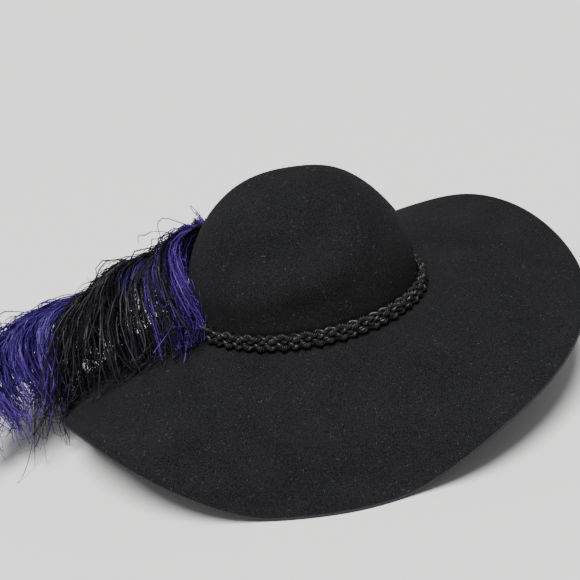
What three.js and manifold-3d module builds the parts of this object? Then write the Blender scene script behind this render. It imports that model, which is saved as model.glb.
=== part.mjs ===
// A wide felt cavalier hat: one body of felt with a round crown and a sweeping brim,
// a braided cord band round the foot of the crown, and three ostrich feathers in a row
// that lie back over the brim. It stands on the two sides of its drooping brim.
//
// Millimetres, +Z up, +X towards the front of the hat, +Y towards the feather side.
// Directions round the hat are in degrees: 0 is the front, 90 the feather side, 180 the back.

import * as THREE from "three";
import { mergeVertices } from "three/addons/utils/BufferGeometryUtils.js";
import Module from "manifold-3d";

const wasm = await Module();
wasm.setup();

// Felt: the crown is measured outside, at the foot of the crown.
const feltThickness = 2.2;
const crownLength = 206;
const crownBreadth = 164;
const crownHeight = 122;
const crownRoundness = 2.36;
const footRadius = 3.5;
const bandPinch = 2;
const pinchRelease = 47;
const brimWidth = 143;
const standHeight = 84;
const landingHeight = 8;

// Braided band
const braidHeight = 13.5;
const braidDepth = 6;
const braidRelief = 0.7;
const braidPlaits = 60;
const braidSeat = 1.9;

// Feathers
const quillThickness = 4.6;
const lockWidth = 14;
const lockThickness = 3;
const lockFall = 1.7;

// The gap between pieces that touch in the real hat
const clearance = 0.3;

// Slope of the brim in each direction, in degrees below (-) or above (+) level, averaged
// from crown to edge, and its width as a share of brimWidth.
const brimTable = [
  { at: 0, slope: -4, wide: 1 },
  { at: 20, slope: 2, wide: 1 },
  { at: 35, slope: 2, wide: 1 },
  { at: 50, slope: -5, wide: 1 },
  { at: 65, slope: -14, wide: 1 },
  { at: 78, slope: -28, wide: 1 },
  { at: 92, slope: -43, wide: 1 },
  { at: 108, slope: -47, wide: 1 },
  { at: 125, slope: -46, wide: 1 },
  { at: 140, slope: -41, wide: 1 },
  { at: 155, slope: -32, wide: 1 },
  { at: 170, slope: -26, wide: 1 },
  { at: 188, slope: -21, wide: 0.99 },
  { at: 205, slope: -8, wide: 0.965 },
  { at: 222, slope: -16, wide: 0.96 },
  { at: 238, slope: -29, wide: 0.98 },
  { at: 255, slope: -45, wide: 1.01 },
  { at: 270, slope: -47, wide: 1.02 },
  { at: 285, slope: -35, wide: 0.98 },
  { at: 300, slope: -20, wide: 0.97 },
  { at: 320, slope: -13, wide: 0.97 },
  { at: 340, slope: -8, wide: 0.985 },
];

// Soft dents (+) and swellings (-) of the crown: where the middle is, how far round (in
// degrees) and how far up they fade, and how deep they are, in shares of crownHeight.
const dentTable = [
  { at: 228, up: 0.61, span: 20, tall: 0.1, deep: 0.018 },
  { at: 252, up: 0.7, span: 20, tall: 0.1, deep: 0.026 },
  { at: 280, up: 0.77, span: 22, tall: 0.1, deep: 0.03 },
  { at: 312, up: 0.82, span: 28, tall: 0.11, deep: 0.026 },
  { at: 245, up: 0.5, span: 20, tall: 0.1, deep: -0.01 },
  { at: 280, up: 0.57, span: 26, tall: 0.1, deep: -0.014 },
  { at: 348, up: 0.72, span: 26, tall: 0.2, deep: 0.026 },
  { at: 120, up: 0.72, span: 40, tall: 0.18, deep: 0.014 },
];

// The line of quills: direction, distance out from the foot of the crown as a share of
// brimWidth, and height over that foot as a share of crownHeight.
const quillTable = [
  { at: 113, out: 0.1, up: 0.32 },
  { at: 130, out: 0.07, up: 0.5 },
  { at: 148, out: 0.04, up: 0.555 },
  { at: 157, out: 0.12, up: 0.475 },
  { at: 162, out: 0.25, up: 0.45 },
  { at: 165, out: 0.36, up: 0.41 },
  { at: 168, out: 0.55, up: 0.25 },
  { at: 171, out: 0.77, up: 0.21 },
  { at: 174, out: 0.96, up: 0.18 },
  { at: 178, out: 1.18, up: 0.09 },
  { at: 181, out: 1.33, up: -0.05 },
];
const quillStart = 101;

// The feathers in order along that line: the shares of it where each begins and ends.
const featherTable = [
  { name: "feather_inner_violet", colour: 0x2a1590, from: 0, to: 0.383 },
  { name: "feather_middle_black", colour: 0x17181b, from: 0.383, to: 0.593 },
  { name: "feather_outer_violet", colour: 0x2a1590, from: 0.593, to: 1 },
];

// Locks of barbs: the share of the quill line where each grows, and where its tip ends:
// direction, distance out as a share of brimWidth, and height as a share of standHeight
// under the foot of the crown. A tip over the brim rests on it where that is higher.
const lockTable = [
  { from: 0.12, at: 84, out: 0.42, down: 1 },
  { from: 0.19, at: 99, out: 0.5, down: 1 },
  { from: 0.255, at: 115, out: 0.56, down: 1 },
  { from: 0.31, at: 130, out: 0.64, down: 1 },
  { from: 0.345, at: 138, out: 0.72, down: 1 },
  { from: 0.286, at: 196, out: 0.11, down: 1 },
  { from: 0.314, at: 199, out: 0.19, down: 1 },
  { from: 0.342, at: 199, out: 0.28, down: 1 },
  { from: 0.43, at: 149, out: 0.87, down: 1 },
  { from: 0.485, at: 153, out: 0.97, down: 0.9 },
  { from: 0.55, at: 158, out: 1.06, down: 0.86 },
  { from: 0.418, at: 198, out: 0.48, down: 1 },
  { from: 0.452, at: 198, out: 0.6, down: 1 },
  { from: 0.488, at: 198, out: 0.72, down: 1 },
  { from: 0.525, at: 199, out: 0.85, down: 1 },
  { from: 0.565, at: 199, out: 1.0, down: 0.5 },
  { from: 0.63, at: 162, out: 1.15, down: 0.82 },
  { from: 0.7, at: 165, out: 1.26, down: 0.78 },
  { from: 0.79, at: 168, out: 1.38, down: 0.74 },
  { from: 0.88, at: 171, out: 1.49, down: 0.68 },
  { from: 0.95, at: 176, out: 1.58, down: 0.6 },
  { from: 0.622, at: 181, out: 0.86, down: 0.5 },
  { from: 0.66, at: 182, out: 0.95, down: 0.55 },
  { from: 0.71, at: 182, out: 1.05, down: 0.52 },
  { from: 0.765, at: 183, out: 1.17, down: 0.58 },
  { from: 0.825, at: 184, out: 1.28, down: 0.63 },
  { from: 0.885, at: 186, out: 1.38, down: 0.66 },
  { from: 0.945, at: 187, out: 1.47, down: 0.58 },
];

// How finely the felt is divided, and the rows of the brim as shares of its width
const feltColumns = 60;
const crownRows = 11;
const footRows = 3;
const brimRows = [0.13, 0.24, 0.36, 0.48, 0.6, 0.71, 0.81, 0.89, 0.945, 1];
const profileSteps = 240;
const surfaceLevel = -standHeight;

const radians = THREE.MathUtils.degToRad;

// A smooth periodic value of one column of a table, at a direction in degrees.
function around(table, column, direction) {
  const count = table.length;
  const turn = ((direction % 360) + 360) % 360;
  let i = table.length - 1;
  while (i > 0 && table[i].at > turn) i -= 1;
  const row = (k) => table[(k + count) % count];
  const angle = (k) => row(k).at + 360 * Math.floor(k / count);
  const tangent = (k) =>
    (row(k + 1)[column] - row(k - 1)[column]) / (angle(k + 1) - angle(k - 1));
  const span = angle(i + 1) - angle(i);
  const s = (turn - angle(i)) / span;
  return (
    (2 * s ** 3 - 3 * s ** 2 + 1) * row(i)[column] +
    (s ** 3 - 2 * s ** 2 + s) * span * tangent(i) +
    (3 * s ** 2 - 2 * s ** 3) * row(i + 1)[column] +
    (s ** 3 - s ** 2) * span * tangent(i + 1)
  );
}

// Where a direction meets the oval of the crown's foot, and which way is straight out there.
function foot(direction) {
  const t = radians(direction);
  const point = new THREE.Vector3(
    (crownLength / 2) * Math.cos(t),
    (crownBreadth / 2) * Math.sin(t),
    0,
  );
  const outward = new THREE.Vector3(
    crownBreadth * Math.cos(t),
    crownLength * Math.sin(t),
    0,
  ).normalize();
  return { point, outward };
}

// A place given by direction, distance straight out from the foot oval, and height.
function place(direction, out, height) {
  const { point, outward } = foot(direction);
  return point.addScaledVector(outward, out).setZ(height);
}

// The brim in one direction, as points { out, height } in even steps of felt. Its droop
// grows from half the slope of the table at the crown to one and a half at the edge, and
// over the last landingHeight it eases flat onto the surface.
function brimProfile(direction) {
  const width = brimWidth * around(brimTable, "wide", direction);
  const slope = radians(around(brimTable, "slope", direction));
  const lowest = surfaceLevel + feltThickness / 2;
  const step = width / profileSteps;
  const points = [{ out: 0, height: 0 }];
  let out = 0;
  let height = 0;
  for (let k = 0; k < profileSteps; k += 1) {
    const steepness = 0.5 + (k + 0.5) / profileSteps;
    const room = Math.min(1, Math.max(0, height - lowest) / landingHeight);
    const ease = slope < 0 ? Math.sqrt(room) : 1;
    const rise = Math.sin(slope * steepness) * ease;
    out += Math.sqrt(1 - rise * rise) * step;
    height = Math.max(lowest, height + rise * step);
    points.push({ out, height });
  }
  return points;
}

// The height of the brim's upper face at a distance out, or the surface past its edge.
function brimTop(direction, out) {
  const profile = brimProfile(direction);
  const edge = profile[profileSteps];
  if (out > edge.out + lockWidth / 2) return surfaceLevel;
  const next = profile.find((p) => p.out >= out) ?? edge;
  return next.height + feltThickness;
}

// How far the crown is pushed in at a direction and a height, the height as a share.
function dentDepth(direction, up) {
  return dentTable.reduce((sum, dent) => {
    const turn = ((direction - dent.at + 540) % 360) - 180;
    const fade = (turn / dent.span) ** 2 + ((up - dent.up) / dent.tall) ** 2;
    return sum + dent.deep * crownHeight * Math.exp(-fade);
  }, 0);
}

// How far the band draws the crown in at a height: fully behind the braid, and less above.
function pinchAt(height) {
  const released = THREE.MathUtils.smoothstep(height, braidHeight, pinchRelease);
  return bandPinch * (1 - released);
}

// A point of the crown's middle layer, at a latitude from 0 (foot) to 90 (top).
function crownPoint(direction, latitude) {
  const power = 2 / crownRoundness;
  const share = Math.cos(radians(latitude)) ** power;
  const up = Math.sin(radians(latitude)) ** power;
  const { point, outward } = foot(direction);
  const middle = 1 - feltThickness / crownBreadth;
  const steep = share ** (crownRoundness - 1);
  const inward = outward
    .clone()
    .multiplyScalar((-2 * steep) / crownBreadth)
    .setZ(-(up ** (crownRoundness - 1)) / crownHeight)
    .normalize();
  return point
    .multiplyScalar(share * middle)
    .setZ(up * (crownHeight - feltThickness / 2))
    .addScaledVector(outward, -pinchAt(up * crownHeight) * share)
    .addScaledVector(inward, dentDepth(direction, up));
}

// The middle layer of the felt in one direction, from beside the top to the brim's edge.
function feltMeridian(direction) {
  const points = [];
  for (let row = 1; row <= crownRows; row += 1) {
    points.push(crownPoint(direction, 90 * (1 - row / (crownRows + 1))));
  }
  for (let row = 0; row < footRows; row += 1) {
    const turn = (row / (footRows - 1)) * (Math.PI / 2);
    const out = footRadius * (1 - Math.cos(turn)) - bandPinch - feltThickness / 2;
    points.push(place(direction, out, footRadius * (1 - Math.sin(turn))));
  }
  const profile = brimProfile(direction);
  for (const share of brimRows) {
    const { out, height } = profile[Math.round(share * profileSteps)];
    points.push(place(direction, out, height));
  }
  return points;
}

// A closed skin over rings with equal counts of points, each ring counter-clockwise seen
// from where the first one's cap faces. With loop, the last ring joins the first.
function skin(rings, loop = false) {
  const count = rings[0].length;
  const vertices = rings.flat();
  const faces = [];
  const strips = loop ? rings.length : rings.length - 1;
  for (let i = 0; i < strips; i += 1) {
    const here = i * count;
    const next = ((i + 1) % rings.length) * count;
    for (let j = 0; j < count; j += 1) {
      const k = (j + 1) % count;
      faces.push(here + j, next + j, next + k, here + j, next + k, here + k);
    }
  }
  const cap = (first, flip) => {
    const ring = vertices.slice(first, first + count);
    const middle = ring
      .reduce((sum, p) => sum.add(p), new THREE.Vector3())
      .divideScalar(count);
    vertices.push(middle);
    for (let j = 0; j < count; j += 1) {
      const pair = [first + j, first + ((j + 1) % count)];
      faces.push(vertices.length - 1, ...(flip ? pair.reverse() : pair));
    }
  };
  if (!loop) {
    const last = (rings.length - 1) * count;
    cap(0, false);
    cap(last, true);
  }
  return new THREE.BufferGeometry().setFromPoints(vertices).setIndex(faces);
}

// The felt: the middle layer is thickened both ways along its own normals.
function feltGeometry() {
  const step = 360 / feltColumns;
  const grid = Array.from({ length: feltColumns }, (_, j) => feltMeridian(j * step));
  const rows = grid[0].length;
  const at = (j, i) => grid[(j + feltColumns) % feltColumns][i];
  const outer = [];
  const inner = [];
  for (let i = 0; i < rows; i += 1) {
    outer.push([]);
    inner.push([]);
    for (let j = 0; j < feltColumns; j += 1) {
      const alongBrim = at(j, Math.min(i + 1, rows - 1))
        .clone()
        .sub(at(j, Math.max(i - 1, 0)));
      const roundBrim = at(j + 1, i).clone().sub(at(j - 1, i));
      const normal = alongBrim.cross(roundBrim).normalize();
      const half = feltThickness / 2;
      const above = at(j, i).clone().addScaledVector(normal, half);
      const below = at(j, i).clone().addScaledVector(normal, -half);
      below.z = Math.max(below.z, surfaceLevel);
      outer[i].push(above);
      inner[i].push(below);
    }
  }
  return skin([...outer, ...inner.reverse()]);
}

// The braid: a ring of rounded section that sits in the turn from crown to brim, with a row
// of plaits along its upper half and another, half a plait on, along its lower half.
function braidGeometry() {
  const outline = [
    { out: 0, up: 0.12, swell: 0 },
    { out: 0, up: 0.88, swell: 0 },
    { out: 0.45, up: 1, swell: 1 },
    { out: 1, up: 0.74, swell: 1 },
    { out: 0.84, up: 0.5, swell: 0 },
    { out: 1, up: 0.26, swell: -1 },
    { out: 0.5, up: 0, swell: 0 },
  ];
  const columnsPerPlait = 2;
  const columns = braidPlaits * columnsPerPlait;
  const rings = outline.map(({ out, up, swell }) =>
    Array.from({ length: columns }, (_, j) => {
      const relief = swell * braidRelief * Math.cos((2 * Math.PI * j) / columnsPerPlait);
      const reach = clearance - bandPinch + out * braidDepth + relief;
      const height = braidSeat + up * braidHeight + relief / 2;
      return place((360 * j) / columns, reach, height);
    }),
  );
  return skin(rings, true);
}

const quillRadius = quillThickness / 2;
const quillOut = braidDepth - bandPinch + braidRelief + quillRadius + 2 * clearance;
const quillRoot = brimTop(quillStart, quillOut) + clearance + quillRadius;

// The line of the quills starts beside the braid and runs back round the crown.
const quillLine = new THREE.CatmullRomCurve3(
  [
    place(quillStart, quillOut, quillRoot),
    ...quillTable.map(({ at, out, up }) => place(at, out * brimWidth, up * crownHeight)),
  ],
  false,
  "centripetal",
);

// Direction and distance out of a point: the inverse of place.
function bearing(point) {
  const rounds = 12;
  let direction = THREE.MathUtils.radToDeg(
    Math.atan2(point.y / crownBreadth, point.x / crownLength),
  );
  let out = 0;
  for (let i = 0; i < rounds; i += 1) {
    const { point: start, outward } = foot(direction);
    const gap = point.clone().setZ(0).sub(start);
    const sideways = gap.x * -outward.y + gap.y * outward.x;
    out = gap.dot(outward);
    direction += THREE.MathUtils.radToDeg(sideways / (start.length() + out));
  }
  return { direction, out };
}

// An oval section with flat sides, square to a bar, wide across it and thick through it.
function section(point, along, across, width, thickness) {
  const sides = 6;
  const wide = across.clone().projectOnPlane(along).normalize();
  const through = wide.clone().cross(along);
  return Array.from({ length: sides }, (_, k) => {
    const turn = (2 * Math.PI * k) / sides;
    return point
      .clone()
      .addScaledVector(wide, (Math.cos(turn) * width) / 2)
      .addScaledVector(through, (Math.sin(turn) * thickness) / 2);
  });
}

// One feather's stretch of quill. It leaves a gap to the stretch before it.
function quillGeometry({ from, to }) {
  const steps = 11;
  const start = from === 0 ? 0 : from + clearance / quillLine.getLength();
  const up = new THREE.Vector3(0, 0, 1);
  const rings = Array.from({ length: steps + 1 }, (_, i) => {
    const share = start + ((to - start) * i) / steps;
    const along = quillLine.getTangentAt(share);
    return section(quillLine.getPointAt(share), along, up, quillThickness, quillThickness);
  });
  return skin(rings);
}

// A lock of barbs leaves the quill sideways, bends over and hangs down to the brim. Its
// height falls with the power lockFall of its length, so a higher power bends it later.
function lockGeometry({ from, at, out, down }) {
  const widthShares = [0.6, 1, 1, 0.75, 0.2];
  const thicknessShares = [1, 1, 1, 0.8, 0.5];
  const root = quillLine.getPointAt(from);
  const start = bearing(root);
  const tip = { direction: at, out: out * brimWidth };
  const over = clearance + lockThickness;
  const resting = (direction, reach) => brimTop(direction, reach) + over;
  const lowest = Math.max(-down * standHeight, resting(tip.direction, tip.out));
  const last = widthShares.length - 1;
  const points = widthShares.map((_, i) => {
    const share = i / last;
    const swing = Math.sin((share * Math.PI) / 2);
    const direction = start.direction + (tip.direction - start.direction) * swing;
    const reach = start.out + (tip.out - start.out) * swing;
    const fall = root.z + (lowest - root.z) * share ** lockFall;
    return place(direction, reach, Math.max(fall, resting(direction, reach)));
  });
  const across = quillLine.getTangentAt(from);
  const rings = points.map((point, i) => {
    const behind = points[Math.max(i - 1, 0)];
    const along = points[Math.min(i + 1, last)].clone().sub(behind).normalize();
    const width = widthShares[i] * lockWidth;
    return section(point, along, across, width, thicknessShares[i] * lockThickness);
  });
  return skin(rings);
}

// One solid from several that run into each other.
function fuse(geometries) {
  const solids = geometries.map((geometry) => {
    const merged = mergeVertices(geometry);
    return new wasm.Manifold(
      new wasm.Mesh({
        numProp: 3,
        vertProperties: merged.attributes.position.array,
        triVerts: new Uint32Array(merged.index.array),
      }),
    );
  });
  const { vertProperties, triVerts } = solids.reduce((all, next) => all.add(next)).getMesh();
  return new THREE.BufferGeometry()
    .setAttribute("position", new THREE.BufferAttribute(vertProperties, 3))
    .setIndex(new THREE.BufferAttribute(triVerts, 1));
}

// A feather: its quill with the locks that grow from it.
function featherGeometry(feather) {
  const locks = lockTable.filter(({ from }) => from > feather.from && from < feather.to);
  return fuse([quillGeometry(feather), ...locks.map(lockGeometry)]);
}

function mesh(name, geometry, colour, roughness) {
  const material = new THREE.MeshStandardMaterial({ color: colour, roughness, metalness: 0 });
  const made = new THREE.Mesh(geometry, material);
  made.name = name;
  return made;
}

const hat = new THREE.Group();
hat.add(mesh("felt_body", feltGeometry(), 0x2b2c30, 0.95));
hat.add(mesh("braided_band", braidGeometry(), 0x1c1d20, 0.5));
for (const feather of featherTable) {
  hat.add(mesh(feather.name, featherGeometry(feather), feather.colour, 0.7));
}

// The origin is the middle of the whole, on the surface that it stands on.
const extent = new THREE.Box3().setFromObject(hat);
const middle = extent.getCenter(new THREE.Vector3());
hat.position.set(-middle.x, -middle.y, -extent.min.z);

const part = new THREE.Group();
part.add(hat);

export default part;
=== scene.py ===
import math

import bpy
import numpy as np
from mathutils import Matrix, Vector, noise
from mathutils.bvhtree import BVHTree


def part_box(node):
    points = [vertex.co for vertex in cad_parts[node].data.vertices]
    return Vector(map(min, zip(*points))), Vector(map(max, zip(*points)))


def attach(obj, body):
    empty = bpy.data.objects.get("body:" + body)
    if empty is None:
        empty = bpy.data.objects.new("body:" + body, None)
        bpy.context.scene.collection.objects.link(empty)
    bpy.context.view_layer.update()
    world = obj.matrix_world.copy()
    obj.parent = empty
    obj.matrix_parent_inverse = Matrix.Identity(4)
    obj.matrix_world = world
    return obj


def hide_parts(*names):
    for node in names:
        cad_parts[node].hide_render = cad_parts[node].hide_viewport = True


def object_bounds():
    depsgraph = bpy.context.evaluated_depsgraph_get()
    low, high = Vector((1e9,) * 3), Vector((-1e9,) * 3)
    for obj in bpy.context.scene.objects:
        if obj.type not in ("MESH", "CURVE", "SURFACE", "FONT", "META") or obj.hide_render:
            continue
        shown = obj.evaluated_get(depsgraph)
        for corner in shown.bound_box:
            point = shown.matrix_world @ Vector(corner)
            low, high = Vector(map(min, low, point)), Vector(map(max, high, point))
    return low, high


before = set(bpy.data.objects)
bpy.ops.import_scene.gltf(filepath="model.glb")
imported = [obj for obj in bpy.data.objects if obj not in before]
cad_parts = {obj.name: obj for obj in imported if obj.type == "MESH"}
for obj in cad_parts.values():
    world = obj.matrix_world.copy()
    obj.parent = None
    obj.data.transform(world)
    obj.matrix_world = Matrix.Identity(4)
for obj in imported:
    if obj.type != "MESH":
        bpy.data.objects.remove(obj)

cad_low, cad_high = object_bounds()


# The felt: crown and brim are one piece of blocked wool felt, 2.2 mm thick, with a raw cut
# edge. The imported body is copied, the fans at the top of the crown become a grid, its facets
# are joined into quads, and the whole is rounded by subdivision.

felt_rounding = 2
felt_edge_crease = 0.7
felt_weld = 0.00001
felt_fan_reach = 0.012
felt_grid_span = 15
felt_sharp_angle = math.radians(55)
felt_smooth_angle = math.radians(40)
crown_dent_depth = 0.002
crown_dent_scale = 19
crown_dents_from = 0.016
crown_dents_fade = 0.03
# The fold starts and ends at these directions in degrees, with its valley "low" and "high" over
# the crown's foot there. "ridge" is the height of the ridge beside it as a share of the depth,
# "below" how many widths lower that lies, and "ends" how far from its middle the fold runs out.
front_fold = {
    "from": 206, "to": 314, "low": 0.066, "high": 0.092, "width": 0.014, "depth": 0.005,
    "ridge": 0.6, "below": 2.2, "ends": 0.42,
}
felt_dark = (0.002, 0.0021, 0.0025, 1)
felt_light = (0.0215, 0.0215, 0.0227, 1)
felt_fleck = (0.06, 0.06, 0.064, 1)
# The colour of the painted highlight along the brim's cut edge.
felt_edge_highlight = (0.045, 0.045, 0.048, 1)
felt_sheen = (0.55, 0.57, 0.62, 1)
felt_grain = 1100
felt_cloud = 26
felt_mottle = 0.12
felt_shade_span = (0.4, 0.72)
felt_fleck_scale = 210
felt_fleck_size = (0.045, 0.11)
felt_fleck_rarity = 0.5
edge_highlight_from = 0.8
edge_highlight_most = 0.7
felt_nap_depth = 0.0006

# The band lies round the crown's foot, so its box gives the crown's middle and foot.
braid_low, braid_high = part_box("braided_band")
braid_seat = 0.0019
crown_middle = (braid_low + braid_high) / 2
foot_height = braid_low.z - braid_seat

bpy.ops.object.select_all(action="DESELECT")
felt = bpy.data.objects.new("felt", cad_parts["felt_body"].data.copy())
bpy.context.collection.objects.link(felt)
felt.select_set(True)
bpy.context.view_layer.objects.active = felt
bpy.ops.object.mode_set(mode="EDIT")
bpy.ops.mesh.select_mode(type="VERT")
bpy.ops.mesh.select_all(action="SELECT")
bpy.ops.mesh.remove_doubles(threshold=felt_weld)
for choose in (max, min):
    bpy.ops.mesh.select_all(action="DESELECT")
    bpy.ops.object.mode_set(mode="OBJECT")
    near_axis = []
    for vertex in felt.data.vertices:
        aside = math.hypot(vertex.co.x - crown_middle.x, vertex.co.y - crown_middle.y)
        if aside < felt_fan_reach and vertex.co.z > foot_height:
            near_axis.append(vertex)
    choose(near_axis, key=lambda vertex: vertex.co.z).select = True
    bpy.ops.object.mode_set(mode="EDIT")
    bpy.ops.mesh.delete(type="VERT")
    bpy.ops.mesh.select_non_manifold(extend=False)
    bpy.ops.mesh.select_mode(type="EDGE")
    bpy.ops.mesh.fill_grid(span=felt_grid_span)
    bpy.ops.mesh.select_mode(type="VERT")
bpy.ops.mesh.select_all(action="SELECT")
bpy.ops.mesh.tris_convert_to_quads(face_threshold=math.pi, shape_threshold=math.pi)
bpy.ops.mesh.normals_make_consistent(inside=False)
bpy.ops.mesh.select_mode(type="EDGE")
bpy.ops.mesh.select_all(action="DESELECT")
bpy.ops.mesh.edges_select_sharp(sharpness=felt_sharp_angle)
bpy.ops.transform.edge_crease(value=felt_edge_crease)
bpy.ops.object.mode_set(mode="OBJECT")
cut_edge = felt.data.attributes.new("cut_edge", "FLOAT", "POINT")
for vertex in felt.data.vertices:
    cut_edge.data[vertex.index].value = float(vertex.select)
rounding = felt.modifiers.new("rounding", "SUBSURF")
rounding.levels = rounding.render_levels = felt_rounding
bpy.ops.object.modifier_apply(modifier="rounding")
# The crown is blocked by hand, so it has soft shallow dents above the band, and one long
# slanting fold across its front.
crown_foot = Vector((crown_middle.x, crown_middle.y, foot_height))
for vertex in felt.data.vertices:
    height = vertex.co.z - foot_height
    held = min(max((height - crown_dents_from) / crown_dents_fade, 0), 1)
    dent = crown_dent_depth * noise.noise(vertex.co * crown_dent_scale)
    around = math.degrees(math.atan2(vertex.co.y - crown_middle.y, vertex.co.x - crown_middle.x)) % 360
    along = (around - front_fold["from"]) / (front_fold["to"] - front_fold["from"])
    valley = front_fold["low"] + (front_fold["high"] - front_fold["low"]) * along
    across = (height - valley) / front_fold["width"]
    fold = front_fold["ridge"] * math.exp(-((across + front_fold["below"]) ** 2)) - math.exp(-(across**2))
    runs_out = math.exp(-(((along - 0.5) / front_fold["ends"]) ** 4))
    dent = held * (dent + front_fold["depth"] * fold * runs_out)
    vertex.co += (vertex.co - crown_foot).normalized() * dent
bpy.ops.object.shade_smooth_by_angle(angle=felt_smooth_angle)


def start_look(name, roughness, specular):
    """A new material, its nodes, its links and its surface."""
    look = bpy.data.materials.new(name)
    look.use_nodes = True
    surface = look.node_tree.nodes["Principled BSDF"]
    surface.inputs["Roughness"].default_value = roughness
    surface.inputs["Specular IOR Level"].default_value = specular
    return look, look.node_tree.nodes, look.node_tree.links, surface


def noise_texture(nodes, links, place, scale, detail):
    """Noise on the object's own coordinates, at this many waves a metre."""
    texture = nodes.new("ShaderNodeTexNoise")
    texture.inputs["Scale"].default_value = scale
    texture.inputs["Detail"].default_value = detail
    links.new(place.outputs["Object"], texture.inputs["Vector"])
    return texture


felt_look, nodes, links, surface = start_look("charcoal_felt", roughness=0.95, specular=0.04)
surface.inputs["Sheen Weight"].default_value = 0.02
surface.inputs["Sheen Roughness"].default_value = 0.5
surface.inputs["Sheen Tint"].default_value = felt_sheen
place = nodes.new("ShaderNodeTexCoord")
grain = noise_texture(nodes, links, place, felt_grain, detail=4)
grain.inputs["Roughness"].default_value = 0.7
cloud = noise_texture(nodes, links, place, felt_cloud, detail=3)
mottle = nodes.new("ShaderNodeMath")
mottle.operation = "MULTIPLY_ADD"
mottle.inputs[1].default_value = felt_mottle
links.new(cloud.outputs["Fac"], mottle.inputs[0])
links.new(grain.outputs["Fac"], mottle.inputs[2])
shade = nodes.new("ShaderNodeValToRGB")
for stop, position, colour in zip(shade.color_ramp.elements, felt_shade_span, (felt_dark, felt_light)):
    stop.position = position
    stop.color = colour
links.new(mottle.outputs["Value"], shade.inputs["Fac"])

# Pale flecks lie in some of the cells of a Voronoi pattern, each round its cell's point.
flecks = nodes.new("ShaderNodeTexVoronoi")
flecks.inputs["Scale"].default_value = felt_fleck_scale
links.new(place.outputs["Object"], flecks.inputs["Vector"])
small = nodes.new("ShaderNodeMapRange")
small.inputs["From Min"].default_value = felt_fleck_size[0]
small.inputs["From Max"].default_value = felt_fleck_size[1]
small.inputs["To Min"].default_value = 1
small.inputs["To Max"].default_value = 0
links.new(flecks.outputs["Distance"], small.inputs["Value"])
fleck_colour = nodes.new("ShaderNodeSeparateColor")
links.new(flecks.outputs["Color"], fleck_colour.inputs["Color"])
rare = nodes.new("ShaderNodeMath")
rare.operation = "GREATER_THAN"
rare.inputs[1].default_value = felt_fleck_rarity
links.new(fleck_colour.outputs["Red"], rare.inputs[0])
fleck_here = nodes.new("ShaderNodeMath")
fleck_here.operation = "MULTIPLY"
links.new(small.outputs["Result"], fleck_here.inputs[0])
links.new(rare.outputs["Value"], fleck_here.inputs[1])
flecked = nodes.new("ShaderNodeMix")
flecked.data_type = "RGBA"
flecked.inputs["B"].default_value = felt_fleck
links.new(fleck_here.outputs["Value"], flecked.inputs["Factor"])
links.new(shade.outputs["Color"], flecked.inputs["A"])

# The brim's raw cut edge is painted paler: a painted highlight for the light that the edge catches.
cut = nodes.new("ShaderNodeAttribute")
cut.attribute_name = "cut_edge"
edge_highlight_band = nodes.new("ShaderNodeMapRange")
edge_highlight_band.inputs["From Min"].default_value = edge_highlight_from
edge_highlight_band.inputs["To Max"].default_value = edge_highlight_most
links.new(cut.outputs["Fac"], edge_highlight_band.inputs["Value"])
edge_highlighted = nodes.new("ShaderNodeMix")
edge_highlighted.data_type = "RGBA"
edge_highlighted.inputs["B"].default_value = felt_edge_highlight
links.new(edge_highlight_band.outputs["Result"], edge_highlighted.inputs["Factor"])
links.new(flecked.outputs["Result"], edge_highlighted.inputs["A"])
links.new(edge_highlighted.outputs["Result"], surface.inputs["Base Color"])
nap = nodes.new("ShaderNodeBump")
nap.inputs["Strength"].default_value = 0.55
nap.inputs["Distance"].default_value = felt_nap_depth
links.new(grain.outputs["Fac"], nap.inputs["Height"])
links.new(nap.outputs["Normal"], surface.inputs["Normal"])
felt.data.materials.clear()
felt.data.materials.append(felt_look)

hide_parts("felt_body")
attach(felt, "root")


# The braided band: five cords plaited flat round the foot of the crown, over one and under one,
# two of them thick and twisted and three smooth and glossy. Every cord is a closed ring.

plait_repeats = 12
plait_overreach = 0.0002
plait_depth = 0.0018
braid_half_depth = 0.0036
braid_lean = 0.0006
oval_samples = 4001
twist_plies = 4
ply_profile = [0.5, 0.8, 0.96, 1.0, 0.96, 0.8]
twist_length = 0.0084
twist_sides = twist_plies * len(ply_profile)
# A cord's "fullness" rounds its turns at the plait's edges out where it is over 0, and makes
# them tighter where it is under 0. "step" is the length of a piece of its tube.
twisted_cord = {"radius": 0.0029, "sides": twist_sides, "step": 0.0005, "twisted": True, "fullness": 0.45}
smooth_cord = {"radius": 0.0018, "sides": 12, "step": 0.0012, "twisted": False, "fullness": -0.3}
cords = [smooth_cord, twisted_cord, smooth_cord, twisted_cord, smooth_cord]
braid_black = (0.0085, 0.0085, 0.0092, 1)
braid_thread_scale = 2600
braid_thread_depth = 0.0003
braid_half = (braid_high - braid_low) / 2
braid_oval = (braid_half.x - braid_half_depth, braid_half.y - braid_half_depth)
braid_middle_height = (braid_low.z + braid_high.z) / 2


def closed_tube_faces(rings, sides, first):
    """Quads of a tube whose last ring joins its first, from the vertex numbered first."""
    ring = np.arange(rings)[:, None]
    side = np.arange(sides)[None, :]
    after = (ring + 1) % rings
    beside = (side + 1) % sides
    corners = [ring * sides + side, after * sides + side, after * sides + beside, ring * sides + beside]
    return np.stack([c + first for c in corners], axis=-1).reshape(-1, 4)


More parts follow.
